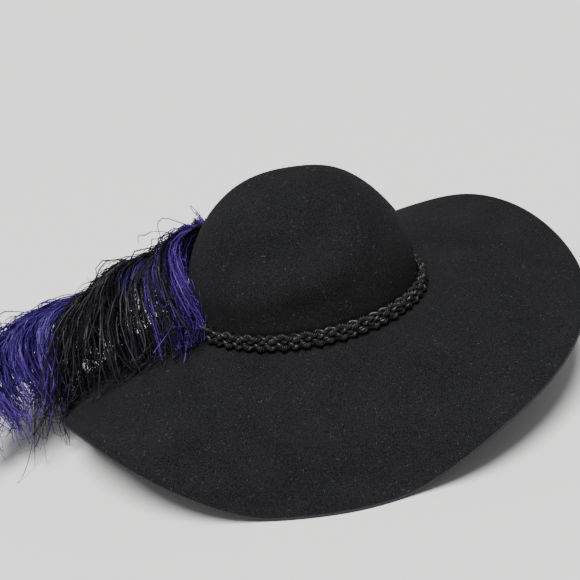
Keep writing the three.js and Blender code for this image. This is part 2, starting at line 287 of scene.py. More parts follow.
turns = np.linspace(0, 2 * math.pi, oval_samples)
oval_x = braid_oval[0] * np.cos(turns)
oval_y = braid_oval[1] * np.sin(turns)
oval_length = np.concatenate([[0], np.cumsum(np.hypot(np.diff(oval_x), np.diff(oval_y)))])
braid_length = oval_length[-1]
plait_period = braid_length / plait_repeats
braid_points, braid_faces = [], []
point_count = 0
for strand, cord in enumerate(cords):
    rings = int(braid_length / cord["step"])
    along = np.arange(rings) / rings * braid_length
    phase = 2 * math.pi * (along / plait_period + strand / len(cords))
    plait_rise = braid_half.z - cord["radius"] + plait_overreach
    full = cord["fullness"]
    rise = plait_rise * np.cos(phase) * (1 + full * np.sin(phase) ** 2)
    steep = 1 + full * np.sin(phase) ** 2 - 2 * full * np.cos(phase) ** 2
    slope = -plait_rise * np.sin(phase) * steep * 2 * math.pi / plait_period
    depth = plait_depth * np.sin((len(cords) - 1) * phase)
    lean = 1 / np.sqrt(1 + slope**2)
    turn = np.interp(along, oval_length, turns)
    outward = np.stack([braid_oval[1] * np.cos(turn), braid_oval[0] * np.sin(turn)], axis=-1)
    outward /= np.linalg.norm(outward, axis=-1, keepdims=True)
    forward = np.stack([-outward[:, 1], outward[:, 0]], axis=-1)
    middle = np.stack([braid_oval[0] * np.cos(turn), braid_oval[1] * np.sin(turn)], axis=-1)
    middle = middle + outward * (depth - braid_lean * rise / plait_rise)[:, None]
    side = np.arange(cord["sides"])[None, :] / cord["sides"] * 2 * math.pi + 0 * along[:, None]
    reach = np.full((rings, cord["sides"]), cord["radius"])
    if cord["twisted"]:
        twists = round(braid_length / twist_length)
        side = side + 2 * math.pi * twists * along[:, None] / braid_length
        reach = reach * np.tile(ply_profile, twist_plies)
    up_part = reach * np.sin(side)
    flat = (
        middle[:, None, :]
        + outward[:, None, :] * (reach * np.cos(side))[:, :, None]
        - forward[:, None, :] * ((slope * lean)[:, None] * up_part)[:, :, None]
    )
    up = braid_middle_height + rise[:, None] + lean[:, None] * up_part
    points = np.concatenate([flat, up[:, :, None]], axis=-1)
    points[:, :, 0] += crown_middle.x
    points[:, :, 1] += crown_middle.y
    braid_points.append(points.reshape(-1, 3))
    braid_faces.append(closed_tube_faces(rings, cord["sides"], point_count))
    point_count += rings * cord["sides"]
braid_mesh = bpy.data.meshes.new("braid")
braid_mesh.from_pydata(np.concatenate(braid_points).tolist(), [], np.concatenate(braid_faces).tolist())
braid_mesh.update()
braid = bpy.data.objects.new("braid", braid_mesh)
bpy.context.collection.objects.link(braid)
bpy.ops.object.select_all(action="DESELECT")
braid.select_set(True)
bpy.context.view_layer.objects.active = braid
bpy.ops.object.mode_set(mode="EDIT")
bpy.ops.mesh.select_all(action="SELECT")
bpy.ops.mesh.normals_make_consistent(inside=False)
bpy.ops.object.mode_set(mode="OBJECT")
bpy.ops.object.shade_smooth()

braid_look, nodes, links, surface = start_look("black_satin_cord", roughness=0.38, specular=0.34)
surface.inputs["Base Color"].default_value = braid_black
place = nodes.new("ShaderNodeTexCoord")
threads = noise_texture(nodes, links, place, braid_thread_scale, detail=2)
thread_relief = nodes.new("ShaderNodeBump")
thread_relief.inputs["Strength"].default_value = 0.12
thread_relief.inputs["Distance"].default_value = braid_thread_depth
links.new(threads.outputs["Fac"], thread_relief.inputs["Height"])
links.new(thread_relief.outputs["Normal"], surface.inputs["Normal"])
braid.data.materials.append(braid_look)

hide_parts("braided_band")
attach(braid, "root")


# The line of the quills: three ostrich feathers lie end to end. The line starts beside the
# band on the far side, climbs round the back of the crown and runs out past the brim.

crown_length = 0.206
crown_breadth = 0.164
crown_height = 0.122
brim_width = 0.143
quill_samples = 400
# "at" is a direction round the crown in degrees, "out" a distance out from its foot as a share
# of the brim's width, and "up" a height over its foot as a share of its height.
quill_start = {"at": 101, "out": 0.057, "up": 0.06}
quill_table = [
    {"at": 113, "out": 0.1, "up": 0.32},
    {"at": 130, "out": 0.07, "up": 0.5},
    {"at": 148, "out": 0.04, "up": 0.555},
    {"at": 157, "out": 0.12, "up": 0.475},
    {"at": 162, "out": 0.25, "up": 0.45},
    {"at": 165, "out": 0.36, "up": 0.41},
    {"at": 168, "out": 0.55, "up": 0.25},
    {"at": 171, "out": 0.77, "up": 0.21},
    {"at": 174, "out": 0.96, "up": 0.18},
    {"at": 178, "out": 1.18, "up": 0.09},
    {"at": 181, "out": 1.33, "up": -0.05},
]


def place_round(direction, out, height):
    """Points at directions in degrees round the crown's foot, straight out from it, at heights over it."""
    turn = np.radians(direction)
    outward = np.stack([crown_breadth * np.cos(turn), crown_length * np.sin(turn)], axis=-1)
    outward = outward / np.linalg.norm(outward, axis=-1, keepdims=True)
    x = crown_middle.x + crown_length / 2 * np.cos(turn) + outward[..., 0] * out
    y = crown_middle.y + crown_breadth / 2 * np.sin(turn) + outward[..., 1] * out
    return np.stack([x, y, foot_height + height + 0 * x], axis=-1)


def smooth_line(points, samples, steps=40):
    """A smooth line through the points, as evenly spaced samples (centripetal Catmull-Rom)."""
    ends = [2 * points[0] - points[1], 2 * points[-1] - points[-2]]
    held = np.array([ends[0], *points, ends[1]])
    gap = np.sqrt(np.linalg.norm(np.diff(held, axis=0), axis=1))
    fine = []
    for k in range(1, len(held) - 2):
        before, here, after, beyond = held[k - 1 : k + 3]
        g0, g1, g2 = gap[k - 1 : k + 2]
        leave = ((here - before) / g0 - (after - before) / (g0 + g1) + (after - here) / g1) * g1
        reach = ((after - here) / g1 - (beyond - here) / (g1 + g2) + (beyond - after) / g2) * g1
        s = np.linspace(0, 1, steps, endpoint=False)[:, None]
        fine.append(
            (2 * s**3 - 3 * s**2 + 1) * here
            + (s**3 - 2 * s**2 + s) * leave
            + (3 * s**2 - 2 * s**3) * after
            + (s**3 - s**2) * reach
        )
    fine = np.concatenate([*fine, held[-2][None]])
    walked = np.concatenate([[0], np.cumsum(np.linalg.norm(np.diff(fine, axis=0), axis=1))])
    even = np.linspace(0, walked[-1], samples)
    return np.stack([np.interp(even, walked, fine[:, c]) for c in range(3)], axis=-1)


quill_bends = [
    place_round(row["at"], row["out"] * brim_width, row["up"] * crown_height)
    for row in [quill_start, *quill_table]
]
quill_line = smooth_line(quill_bends, quill_samples)
quill_shares = np.linspace(0, 1, len(quill_line))


def on_quill(share):
    """The points of the quill line at shares of its length."""
    return np.stack([np.interp(share, quill_shares, quill_line[:, c]) for c in range(3)], axis=-1)


def round_crown(points, rounds=12):
    """Directions in degrees and distances out of points: the inverse of place_round, by rounds."""
    x, y = points[..., 0] - crown_middle.x, points[..., 1] - crown_middle.y
    turn = np.arctan2(y / crown_breadth, x / crown_length)
    out = np.zeros_like(turn)
    for _ in range(rounds):
        start = np.stack([crown_length / 2 * np.cos(turn), crown_breadth / 2 * np.sin(turn)], axis=-1)
        outward = np.stack([crown_breadth * np.cos(turn), crown_length * np.sin(turn)], axis=-1)
        outward = outward / np.linalg.norm(outward, axis=-1, keepdims=True)
        gap_x, gap_y = x - start[..., 0], y - start[..., 1]
        out = gap_x * outward[..., 0] + gap_y * outward[..., 1]
        sideways = gap_y * outward[..., 0] - gap_x * outward[..., 1]
        turn = turn + sideways / (np.linalg.norm(start, axis=-1) + out)
    return np.degrees(turn) % 360, out


# What the barbs lie on: the height of the brim's upper face on a grid, read by rays from
# above, and how far the crown reaches outwards at each direction and height.

rest_step = 0.003
rest_margin = 0.05
rest_above = 0.05
wall_step = 4
wall_low = 0.004
wall_top = 0.96 * crown_height
wall_rows = 24
far_away = 0.3
felt_tree = BVHTree.FromObject(felt, bpy.context.evaluated_depsgraph_get())
rest_x = np.arange(cad_low.x - rest_margin, cad_high.x + rest_margin, rest_step)
rest_y = np.arange(cad_low.y - rest_margin, cad_high.y + rest_margin, rest_step)
rest_height = np.zeros((len(rest_x), len(rest_y)))
for i, x in enumerate(rest_x):
    for j, y in enumerate(rest_y):
        hit = felt_tree.ray_cast(Vector((x, y, foot_height + rest_above)), Vector((0, 0, -1)))
        rest_height[i, j] = hit[0].z if hit[0] else 0
wall_directions = np.arange(0, 360 + wall_step, wall_step)
wall_heights = np.linspace(wall_low, wall_top, wall_rows)
wall_reach = np.zeros((len(wall_directions), len(wall_heights)))
for i, direction in enumerate(wall_directions):
    for j, height in enumerate(wall_heights):
        start = Vector(place_round(float(direction), far_away, height))
        axis = Vector((crown_middle.x, crown_middle.y, start.z))
        hit = felt_tree.ray_cast(start, (axis - start).normalized())
        wall_reach[i, j] = (hit[0] - axis).length if hit[0] else 0


def on_grid(table, xs, ys, x, y, edge=0.001):
    """Values of a table over evenly spaced xs and ys. Places past it are taken just inside its edge."""
    u = np.clip((x - xs[0]) / (xs[1] - xs[0]), 0, len(xs) - 1 - edge)
    v = np.clip((y - ys[0]) / (ys[1] - ys[0]), 0, len(ys) - 1 - edge)
    i, j = u.astype(int), v.astype(int)
    a, b = u - i, v - j
    return (
        table[i, j] * (1 - a) * (1 - b)
        + table[i + 1, j] * a * (1 - b)
        + table[i, j + 1] * (1 - a) * b
        + table[i + 1, j + 1] * a * b
    )


def clear_of_felt(points, over, beside):
    """Points moved out of the crown to a distance beside it, and up to a height over the brim."""
    x, y = points[..., 0] - crown_middle.x, points[..., 1] - crown_middle.y
    height = points[..., 2] - foot_height
    away = np.hypot(x, y)
    # The table's directions are those of place_round, so the bearing is turned into one.
    turn = np.radians(np.degrees(np.arctan2(y, x)) % 360)
    direction = np.degrees(np.arctan2(np.sin(turn) * crown_length, np.cos(turn) * crown_breadth)) % 360
    wall = on_grid(wall_reach, wall_directions, wall_heights, direction, height)
    inside = (height > wall_heights[0]) & (height < wall_heights[-1]) & (away < wall + beside)
    push = np.where(inside, (wall + beside) / np.maximum(away, 1e-6), 1)
    moved = np.stack([crown_middle.x + x * push, crown_middle.y + y * push, points[..., 2]], axis=-1)
    ground = on_grid(rest_height, rest_x, rest_y, moved[..., 0], moved[..., 1])
    moved[..., 2] = np.maximum(moved[..., 2], ground + over)
    return moved


# The feathers: dyed ostrich plumes, each a curved quill with hundreds of long soft barbs that
# arch to both sides, hang in loose locks and curl at their tips. Short barbules stand off every
# barb, so it looks like crinkled yarn. The middle feather is black, the others blue violet.

feather_triangles = 190000
quill_taper = [0.0019, 0.0009]
quill_rings = 30
quill_sides = 8
quill_nudge = 0.01
barb_radius = 0.00056
barb_sides = 3
barb_taper = ([0, 0.7, 1], [1.1, 0.8, 0.4])
barb_thickness = (0.65, 1.2)
ring_thickness = (0.6, 1.35)
barb_arch = 0.008
# A barb's tube has its rings at these shares of its length, closer together where it curls.
barb_shares = np.array([0, 0.12, 0.24, 0.36, 0.48, 0.59, 0.69, 0.77, 0.84, 0.895, 0.94, 0.975, 1.0])
root_crowding = 0.85
swing_most = 1.15
# The curve s * (1 - s)**2 peaks at one in 6.75, so this brings an arch to its full height.
arch_scale = 6.75
# How unlike each other the locks of a feather are, and the barbs of a lock. The places of the
# tips differ in degrees round the crown, metres out and metres down, and the turns in radians.
lock_spread = {
    "tip": (2.0, 0.007, 0.008), "bend": 0.2, "length": 0.05, "spin": 0.3, "curl": 1.0, "sway": 0.34,
    "tone": 0.18,
}
# Stretches along each barb are painted lighter and darker, partly as tone and partly as painted highlight.
barb_spread = {
    "tip": (0.9, 0.0035, 0.0035), "bend": 0.12, "sweep": 0.2, "length": 0.05, "spin": 0.2, "curl": 0.55,
    "sway": 0.24, "tone": 0.2, "tone_and_glints_along": 0.24,
}
loose_barbs = {"share": 0.02, "bend": (2.2, 3.2), "sweep": 1.8}
short_barbs = {"share": 0.25, "length": (0.5, 1)}
hooked_barbs = {"share": 0.5, "turn": (1.6, 3.4), "from": 0.84}
usual_curl = 0.1
curl_from = 0.6
curl_power = 1.2
lock_waves = (2.2, 4.2)
barb_waves = (2, 5)
barb_clear = {"over": 0.001, "over_more": 0.008, "beside": 0.0015, "beside_more": 0.004}
barbule_radius = 0.00024
barbule_length = 0.0034
barbule_sizes = {"of_barb": (0.75, 1.25), "own": (0.6, 1.2)}
barbule_reach = ([0, 0.3, 0.7, 1], [0.7, 1.05, 1.1, 0.9])
barbules_from = 0.05
barbule_waves = (30, 60)
barbule_turn = {"first": (0, 6), "winding": 6, "wave": 0.7, "spread": 0.35}
barbule_lean = {"usual": 38, "spread": 9, "wave": 8}
barbule_clear = {"over": 0.0003, "beside": 0.0004}
barbule_up = [0.3, 0.2, 1.0]
barbule_tone = {"lighter": 0.08, "spread": 0.2}
barbule_corners = 4
barbule_faces = ([0, 2, 1], [0, 1, 3], [1, 2, 3], [2, 0, 3])
violet_dark, violet_light = (0.011, 0.005, 0.07, 1), (0.13, 0.06, 0.38, 1)
black_dark, black_light = (0.0028, 0.0026, 0.0042, 1), (0.028, 0.026, 0.031, 1)
root_shade = 0.35
# A feather grows along a stretch of the quill line, "from" to "to", and a few "strays" of its
# barbs grow beyond it. Each of its sides lists where its barbs end, by the share of the line
# where they grow: direction, distance out as a share of the brim's width, and height under the
# crown's foot as a share of its height. "part" is the side's share of the barbs, "hold" how
# closely they keep to their lock, "bend" how late they fall, and "sweep" how far they first run
# along the quill. "tone" is how light the dye came out.
feather_table = [
    {
        "name": "feather_inner", "node": "feather_inner_violet", "slot": "violet_feather", "seed": 3,
        "from": 0.0, "to": 0.31, "strays_to": 0.5, "strays": 0.08,
        "barbs": 780, "locks": 46, "tone": 0.3,
        "sides": [
            {"part": 0.5, "hold": 0.8, "bend": 1.9, "sweep": 0.02, "tips": [
                {"from": 0.0, "at": 125, "out": 0.03, "down": -0.3},
                {"from": 0.1, "at": 165, "out": 0.03, "down": -0.3},
                {"from": 0.15, "at": 188, "out": 0.03, "down": -0.15},
                {"from": 0.2, "at": 196, "out": 0.04, "down": 0.0},
                {"from": 0.28, "at": 201, "out": 0.07, "down": 0.03},
                {"from": 0.31, "at": 203, "out": 0.1, "down": 0.03},
                {"from": 0.36, "at": 203, "out": 0.15, "down": 0.05},
                {"from": 0.42, "at": 195, "out": 0.25, "down": 0.1},
                {"from": 0.47, "at": 187, "out": 0.35, "down": 0.16},
            ]},
            {"part": 0.5, "hold": 0.5, "bend": 1.25, "sweep": 0.05, "tips": [
                {"from": 0.0, "at": 76, "out": 0.38, "down": 1.0},
                {"from": 0.12, "at": 84, "out": 0.4, "down": 1.0},
                {"from": 0.19, "at": 99, "out": 0.48, "down": 1.0},
                {"from": 0.255, "at": 115, "out": 0.54, "down": 1.0},
                {"from": 0.31, "at": 130, "out": 0.62, "down": 1.0},
                {"from": 0.47, "at": 150, "out": 0.9, "down": 1.0},
            ]},
        ],
    },
    {
        "name": "feather_middle", "node": "feather_middle_black", "slot": "black_feather", "seed": 5,
        "from": 0.27, "to": 0.615, "strays_to": 0.64, "strays": 0.03,
        "barbs": 960, "locks": 44, "tone": 0.42,
        "sides": [
            {"part": 0.36, "hold": 0.85, "bend": 1.75, "sweep": 0.05, "tips": [
                {"from": 0.27, "at": 202, "out": 0.09, "down": 0.03},
                {"from": 0.3, "at": 203, "out": 0.13, "down": 0.04},
                {"from": 0.35, "at": 202, "out": 0.18, "down": 0.05},
                {"from": 0.385, "at": 198, "out": 0.23, "down": 0.07},
                {"from": 0.42, "at": 194, "out": 0.3, "down": 0.12},
                {"from": 0.455, "at": 190, "out": 0.38, "down": 0.19},
                {"from": 0.49, "at": 188, "out": 0.47, "down": 0.27},
                {"from": 0.525, "at": 186.5, "out": 0.57, "down": 0.33},
                {"from": 0.56, "at": 185.5, "out": 0.67, "down": 0.4},
                {"from": 0.615, "at": 184, "out": 0.76, "down": 0.46},
            ]},
            {"part": 0.13, "hold": 0.5, "bend": 1.5, "sweep": 0.04, "tips": [
                {"from": 0.35, "at": 201, "out": 0.24, "down": 0.2},
                {"from": 0.42, "at": 198, "out": 0.46, "down": 0.3},
                {"from": 0.47, "at": 197, "out": 0.62, "down": 0.4},
                {"from": 0.51, "at": 188, "out": 0.84, "down": 0.64},
                {"from": 0.54, "at": 185, "out": 0.97, "down": 0.86},
                {"from": 0.63, "at": 183, "out": 1.08, "down": 0.84},
            ]},
            {"part": 0.09, "hold": 0.2, "bend": 1.6, "sweep": 0.02, "tips": [
                {"from": 0.53, "at": 184, "out": 0.86, "down": 0.84},
                {"from": 0.62, "at": 184, "out": 0.98, "down": 0.9},
            ]},
            {"part": 0.12, "hold": 0.2, "bend": 1.6, "sweep": 0.02, "tips": [
                {"from": 0.4, "at": 179, "out": 0.46, "down": 0.22},
                {"from": 0.54, "at": 179, "out": 0.68, "down": 0.42},
            ]},
            {"part": 0.07, "hold": 0.2, "bend": 1.6, "sweep": 0.02, "tips": [
                {"from": 0.53, "at": 180, "out": 0.7, "down": 0.5},
                {"from": 0.62, "at": 180, "out": 0.86, "down": 0.62},
            ]},
            {"part": 0.12, "hold": 0.3, "bend": 1.4, "sweep": 0.03, "tips": [
                {"from": 0.35, "at": 178, "out": 0.3, "down": 0.2},
                {"from": 0.45, "at": 174, "out": 0.5, "down": 0.4},
                {"from": 0.55, "at": 172, "out": 0.8, "down": 0.7},
                {"from": 0.63, "at": 172, "out": 0.98, "down": 0.84},
            ]},
            {"part": 0.11, "hold": 0.4, "bend": 1.25, "sweep": 0.05, "tips": [
                {"from": 0.35, "at": 139, "out": 0.72, "down": 1.0},
                {"from": 0.43, "at": 149, "out": 0.85, "down": 1.0},
                {"from": 0.485, "at": 153, "out": 0.95, "down": 0.9},
                {"from": 0.63, "at": 161, "out": 1.1, "down": 0.84},
            ]},
        ],
    },
    {
        "name": "feather_outer", "node": "feather_outer_violet", "slot": "violet_feather", "seed": 7,
        "from": 0.61, "to": 1.0, "strays_to": 1.0, "strays": 0.0,
        "barbs": 860, "locks": 38, "tone": 0.4,
        "sides": [
            {"part": 0.56, "hold": 0.85, "bend": 1.75, "sweep": 0.13, "tips": [
                {"from": 0.61, "at": 181.5, "out": 0.775, "down": 0.46},
                {"from": 0.66, "at": 181.5, "out": 0.84, "down": 0.5},
                {"from": 0.7, "at": 182, "out": 0.91, "down": 0.5},
                {"from": 0.75, "at": 182.5, "out": 1.0, "down": 0.5},
                {"from": 0.8, "at": 183.5, "out": 1.09, "down": 0.52},
                {"from": 0.85, "at": 184.5, "out": 1.19, "down": 0.56},
                {"from": 0.9, "at": 185.5, "out": 1.28, "down": 0.58},
                {"from": 0.95, "at": 186.5, "out": 1.37, "down": 0.57},
                {"from": 1.0, "at": 187, "out": 1.47, "down": 0.48},
            ]},
            {"part": 0.16, "hold": 0.4, "bend": 1.4, "sweep": 0.05, "tips": [
                {"from": 0.59, "at": 172, "out": 1.02, "down": 0.76},
                {"from": 0.8, "at": 178, "out": 1.28, "down": 0.66},
                {"from": 1.0, "at": 182, "out": 1.5, "down": 0.55},
            ]},
            {"part": 0.22, "hold": 0.5, "bend": 1.25, "sweep": 0.06, "tips": [
                {"from": 0.59, "at": 160, "out": 1.08, "down": 0.84},
                {"from": 0.63, "at": 162, "out": 1.13, "down": 0.82},
                {"from": 0.79, "at": 168, "out": 1.33, "down": 0.74},
                {"from": 0.95, "at": 175, "out": 1.49, "down": 0.6},
                {"from": 1.0, "at": 177, "out": 1.54, "down": 0.56},
            ]},
            {"part": 0.06, "hold": 0.5, "bend": 1.9, "sweep": 0.0, "tips": [
                {"from": 0.59, "at": 178, "out": 1.2, "down": 0.3},
                {"from": 0.8, "at": 180, "out": 1.45, "down": 0.4},
                {"from": 1.0, "at": 182, "out": 1.56, "down": 0.35},
            ]},
        ],
    },
]


def unit(vectors):
    """The vectors at length one."""
    return vectors / np.maximum(np.linalg.norm(vectors, axis=-1, keepdims=True), 1e-9)


def turn_about(vectors, axis, angle):
    """Vectors turned about unit axes by angles."""
    return (
        vectors * np.cos(angle)[..., None]
        + np.cross(axis, vectors) * np.sin(angle)[..., None]
        + axis * (vectors * axis).sum(-1, keepdims=True) * (1 - np.cos(angle))[..., None]
    )


def barb_tips(table, share):
    """Direction, distance out and depth of the tips of barbs that grow at these shares."""
    known = [row["from"] for row in table]
    at, out, down = (np.interp(share, known, [row[c] for row in table]) for c in ("at", "out", "down"))
    return np.stack([at, out * brim_width, down * foot_height], axis=-1)


def barb_roots(feather, dice):
    """The side, share of the quill line, straying and lock of a feather's barbs, and its locks' shares."""
    count, locks, sides = feather["barbs"], feather["locks"], feather["sides"]
    span = feather["to"] - feather["from"]
    side = dice.choice(len(sides), count, p=[one["part"] for one in sides])
    first = np.array([max(feather["from"], one["tips"][0]["from"]) for one in sides])[side]
    last = np.array([min(feather["to"], one["tips"][-1]["from"]) for one in sides])[side]
    share = first + (last - first) * dice.random(count) ** root_crowding
    stray = dice.random(count) < feather["strays"]
    share = np.where(stray, dice.uniform(feather["to"], feather["strays_to"], count), share)
    lock_share = feather["from"] + span * (np.arange(locks) + dice.random(locks)) / locks
    apart = np.abs(share[:, None] - lock_share[None, :] + dice.normal(0, span / locks, (count, locks)))
    return side, share, stray, apart.argmin(1), lock_share


def curled(root, line, side, lock, every_lock, dice):
    """The barbs' lines as they sway, with their lock and by themselves, and curl or hook at the tips."""
    count = len(line)
    step = np.diff(line, axis=1)
    length = np.linalg.norm(step, axis=-1, keepdims=True)
    flat = line[:, -1] - line[:, 0]
    level = unit(np.stack([-flat[:, 1], flat[:, 0], 0 * flat[:, 0]], axis=-1))
    lock_spin = dice.normal(0, lock_spread["spin"], (*every_lock, 3))[side, lock]
    spin = unit(level + lock_spin + dice.normal(0, barb_spread["spin"], (count, 3)))
    hooked = dice.random(count) < hooked_barbs["share"]
    curl = dice.normal(usual_curl, lock_spread["curl"], every_lock)[side, lock]
    curl = curl + dice.normal(0, barb_spread["curl"], count)
    hook = dice.uniform(*hooked_barbs["turn"], count) * np.where(dice.random(count) < 0.5, -1, 1)
    curl = np.where(hooked, hook, curl)
    start = np.where(hooked, hooked_barbs["from"], curl_from)[:, None]
    run = barb_shares[1:][None, :]
    curling = np.clip((run - start) / (1 - start), 0, 1) ** curl_power
    lock_wave = dice.uniform(*lock_waves, every_lock)[side, lock][:, None]
    lock_sway = dice.normal(0, lock_spread["sway"], every_lock)[side, lock][:, None]
    lock_sway = lock_sway * np.sin(run * math.pi * lock_wave)
    own_sway = dice.normal(0, barb_spread["sway"], (count, 1))
    own_sway = own_sway * np.sin(run * math.pi * dice.uniform(*barb_waves, (count, 1)))
    sway = (lock_sway + own_sway) * run
    turned = turn_about(unit(step), spin[:, None, :], curl[:, None] * curling + sway)
    return np.concatenate([root[:, None, :], root[:, None, :] + np.cumsum(turned * length, axis=1)], axis=1)


def barb_lines(feather, dice):
    """Centre lines of a feather's barbs from root to tip, and which lock each one is in."""
    side, share, stray, lock, lock_share = barb_roots(feather, dice)
    count, sides = feather["barbs"], feather["sides"]
    every_lock = (len(sides), feather["locks"])

    def own_side(values):
        return np.stack(values)[side, np.arange(count)]

    own = own_side([barb_tips(one["tips"], share) for one in sides])
    held = own_side([barb_tips(one["tips"], lock_share)[lock] for one in sides])
    held = np.where(stray[:, None], own, held)
    hold = np.array([one["hold"] for one in sides])[side][:, None]
    lock_stray = dice.normal(0, 1, (*every_lock, 3))[side, lock] * lock_spread["tip"]
    tips = own + (held - own) * hold + lock_stray + dice.normal(0, 1, (count, 3)) * barb_spread["tip"]
    bend = own_side([dice.normal(one["bend"], barb_spread["bend"], count) for one in sides])
    bend = bend + dice.normal(0, lock_spread["bend"], every_lock)[side, lock]
    sweep = own_side([one["sweep"] * dice.normal(1, barb_spread["sweep"], count) for one in sides])
    loose = dice.random(count) < loose_barbs["share"]
    bend = np.where(loose, dice.uniform(*loose_barbs["bend"], count), bend)[:, None]
    sweep = np.where(loose, sweep * loose_barbs["sweep"], sweep)[:, None]
    root = on_quill(share)
    ahead = unit(on_quill(np.minimum(share + quill_nudge, 1)) - on_quill(share - quill_nudge))
    from_at, from_out = round_crown(root)
    whole = dice.random(count) < 1 - short_barbs["share"]
    whole_length = dice.normal(1.0, barb_spread["length"], count)
    part = np.where(whole, whole_length, dice.uniform(*short_barbs["length"], count))
    part = part + dice.normal(0, lock_spread["length"], every_lock)[side, lock]
    gone = barb_shares[None, :] * part[:, None]
    left = 1 - np.minimum(gone, 1)
    swing = np.sin(np.minimum(gone, swing_most) * math.pi / 2)
    direction = from_at[:, None] + (tips[:, 0] - from_at)[:, None] * swing
    out = from_out[:, None] + (tips[:, 1] - from_out)[:, None] * swing
    rise = (root[:, 2] - foot_height)[:, None]
    arch = barb_arch * arch_scale * gone * left**2
    line = place_round(direction, out, rise + (-tips[:, 2][:, None] - rise) * gone**bend + arch)
    line = line + (sweep * gone * left**2)[..., None] * ahead[:, None, :]
    line = curled(root, line, side, lock, every_lock, dice)
    over = barb_clear["over"] + barb_clear["over_more"] * dice.random((count, 1)) ** 2
    beside = barb_clear["beside"] + barb_clear["beside_more"] * dice.random((count, 1))
    return clear_of_felt(line, over, beside), lock


def tubes(line, radius, across, sides, first):
    """Points and faces of closed tubes along the lines, their points numbered from first."""
    count, rings = line.shape[:2]
    heading = unit(np.gradient(line, axis=1))
    wide = unit(np.cross(heading, across))
    through = np.cross(heading, wide)
    turn = np.arange(sides) / sides * 2 * math.pi
    around = wide[:, :, None, :] * np.cos(turn)[:, None] + through[:, :, None, :] * np.sin(turn)[:, None]
    points = line[:, :, None, :] + radius[:, :, None, None] * around
    start = first + (np.arange(count) * rings * sides)[:, None, None]
    ring = np.arange(rings - 1)[None, :, None] * sides
    corner = np.arange(sides)[None, None, :]
    beside = (corner + 1) % sides
    walls = [ring + corner, ring + beside, ring + sides + beside, ring + sides + corner]
    walls = np.stack([np.broadcast_to(start + w, (count, rings - 1, sides)) for w in walls], axis=-1)
    root = start[:, 0] + np.arange(sides)[::-1]
    tip = start[:, 0] + (rings - 1) * sides + np.arange(sides)
    return points.reshape(-1, 3), [*walls.reshape(-1, 4).tolist(), *root.tolist(), *tip.tolist()]


def barbules(line, each, first, dice):
    """Points, faces and places along the barb of barbules, so many on each line, as slender pyramids."""
    count, rings = line.shape[:2]
    run = (np.arange(each) + dice.random((count, each))) / each * (1 - barbules_from) + barbules_from
    cell = np.clip(np.searchsorted(barb_shares, run) - 1, 0, rings - 2)
    blend = ((run - barb_shares[cell]) / (barb_shares[cell + 1] - barb_shares[cell]))[..., None]
    barb = np.arange(count)[:, None]
    foot = line[barb, cell] * (1 - blend) + line[barb, cell + 1] * blend
    along = unit(line[barb, cell + 1] - line[barb, cell])
    wave = run * dice.uniform(*barbule_waves, (count, 1))
    wave = np.sin(wave + dice.uniform(*barbule_turn["first"], (count, 1)))
    phase = dice.uniform(*barbule_turn["first"], (count, 1))
    phase = phase + run * dice.normal(0, barbule_turn["winding"], (count, 1))
    phase = phase + math.pi * (np.arange(each) % 2) + barbule_turn["wave"] * wave
    phase = phase + dice.normal(0, barbule_turn["spread"], (count, each))
    upward = np.broadcast_to(barbule_up, along.shape)
    sideways = turn_about(unit(np.cross(along, upward)), along, phase)
    lean = dice.normal(barbule_lean["usual"], barbule_lean["spread"], (count, each))
    lean = np.radians(lean + barbule_lean["wave"] * wave)
    pointing = along * np.cos(lean)[..., None] + sideways * np.sin(lean)[..., None]
    reach = barbule_length * np.interp(run, *barbule_reach)
    reach = reach * dice.uniform(*barbule_sizes["own"], (count, each))
    reach = reach * dice.uniform(*barbule_sizes["of_barb"], (count, 1))
    tip = foot + pointing * reach[..., None]
    tip = clear_of_felt(tip, barbule_clear["over"], barbule_clear["beside"])
    across = unit(np.cross(pointing, along + 0.001))
    beyond = np.cross(pointing, across)
    corners = [across * math.cos(t) + beyond * math.sin(t) for t in np.radians([0, 120, 240])]
    points = np.stack([*[foot + barbule_radius * corner for corner in corners], tip], axis=2).reshape(-1, 3)
    start = first + (np.arange(count * each) * barbule_corners)[:, None]
    return points, np.concatenate([start + face for face in barbule_faces]).tolist(), run


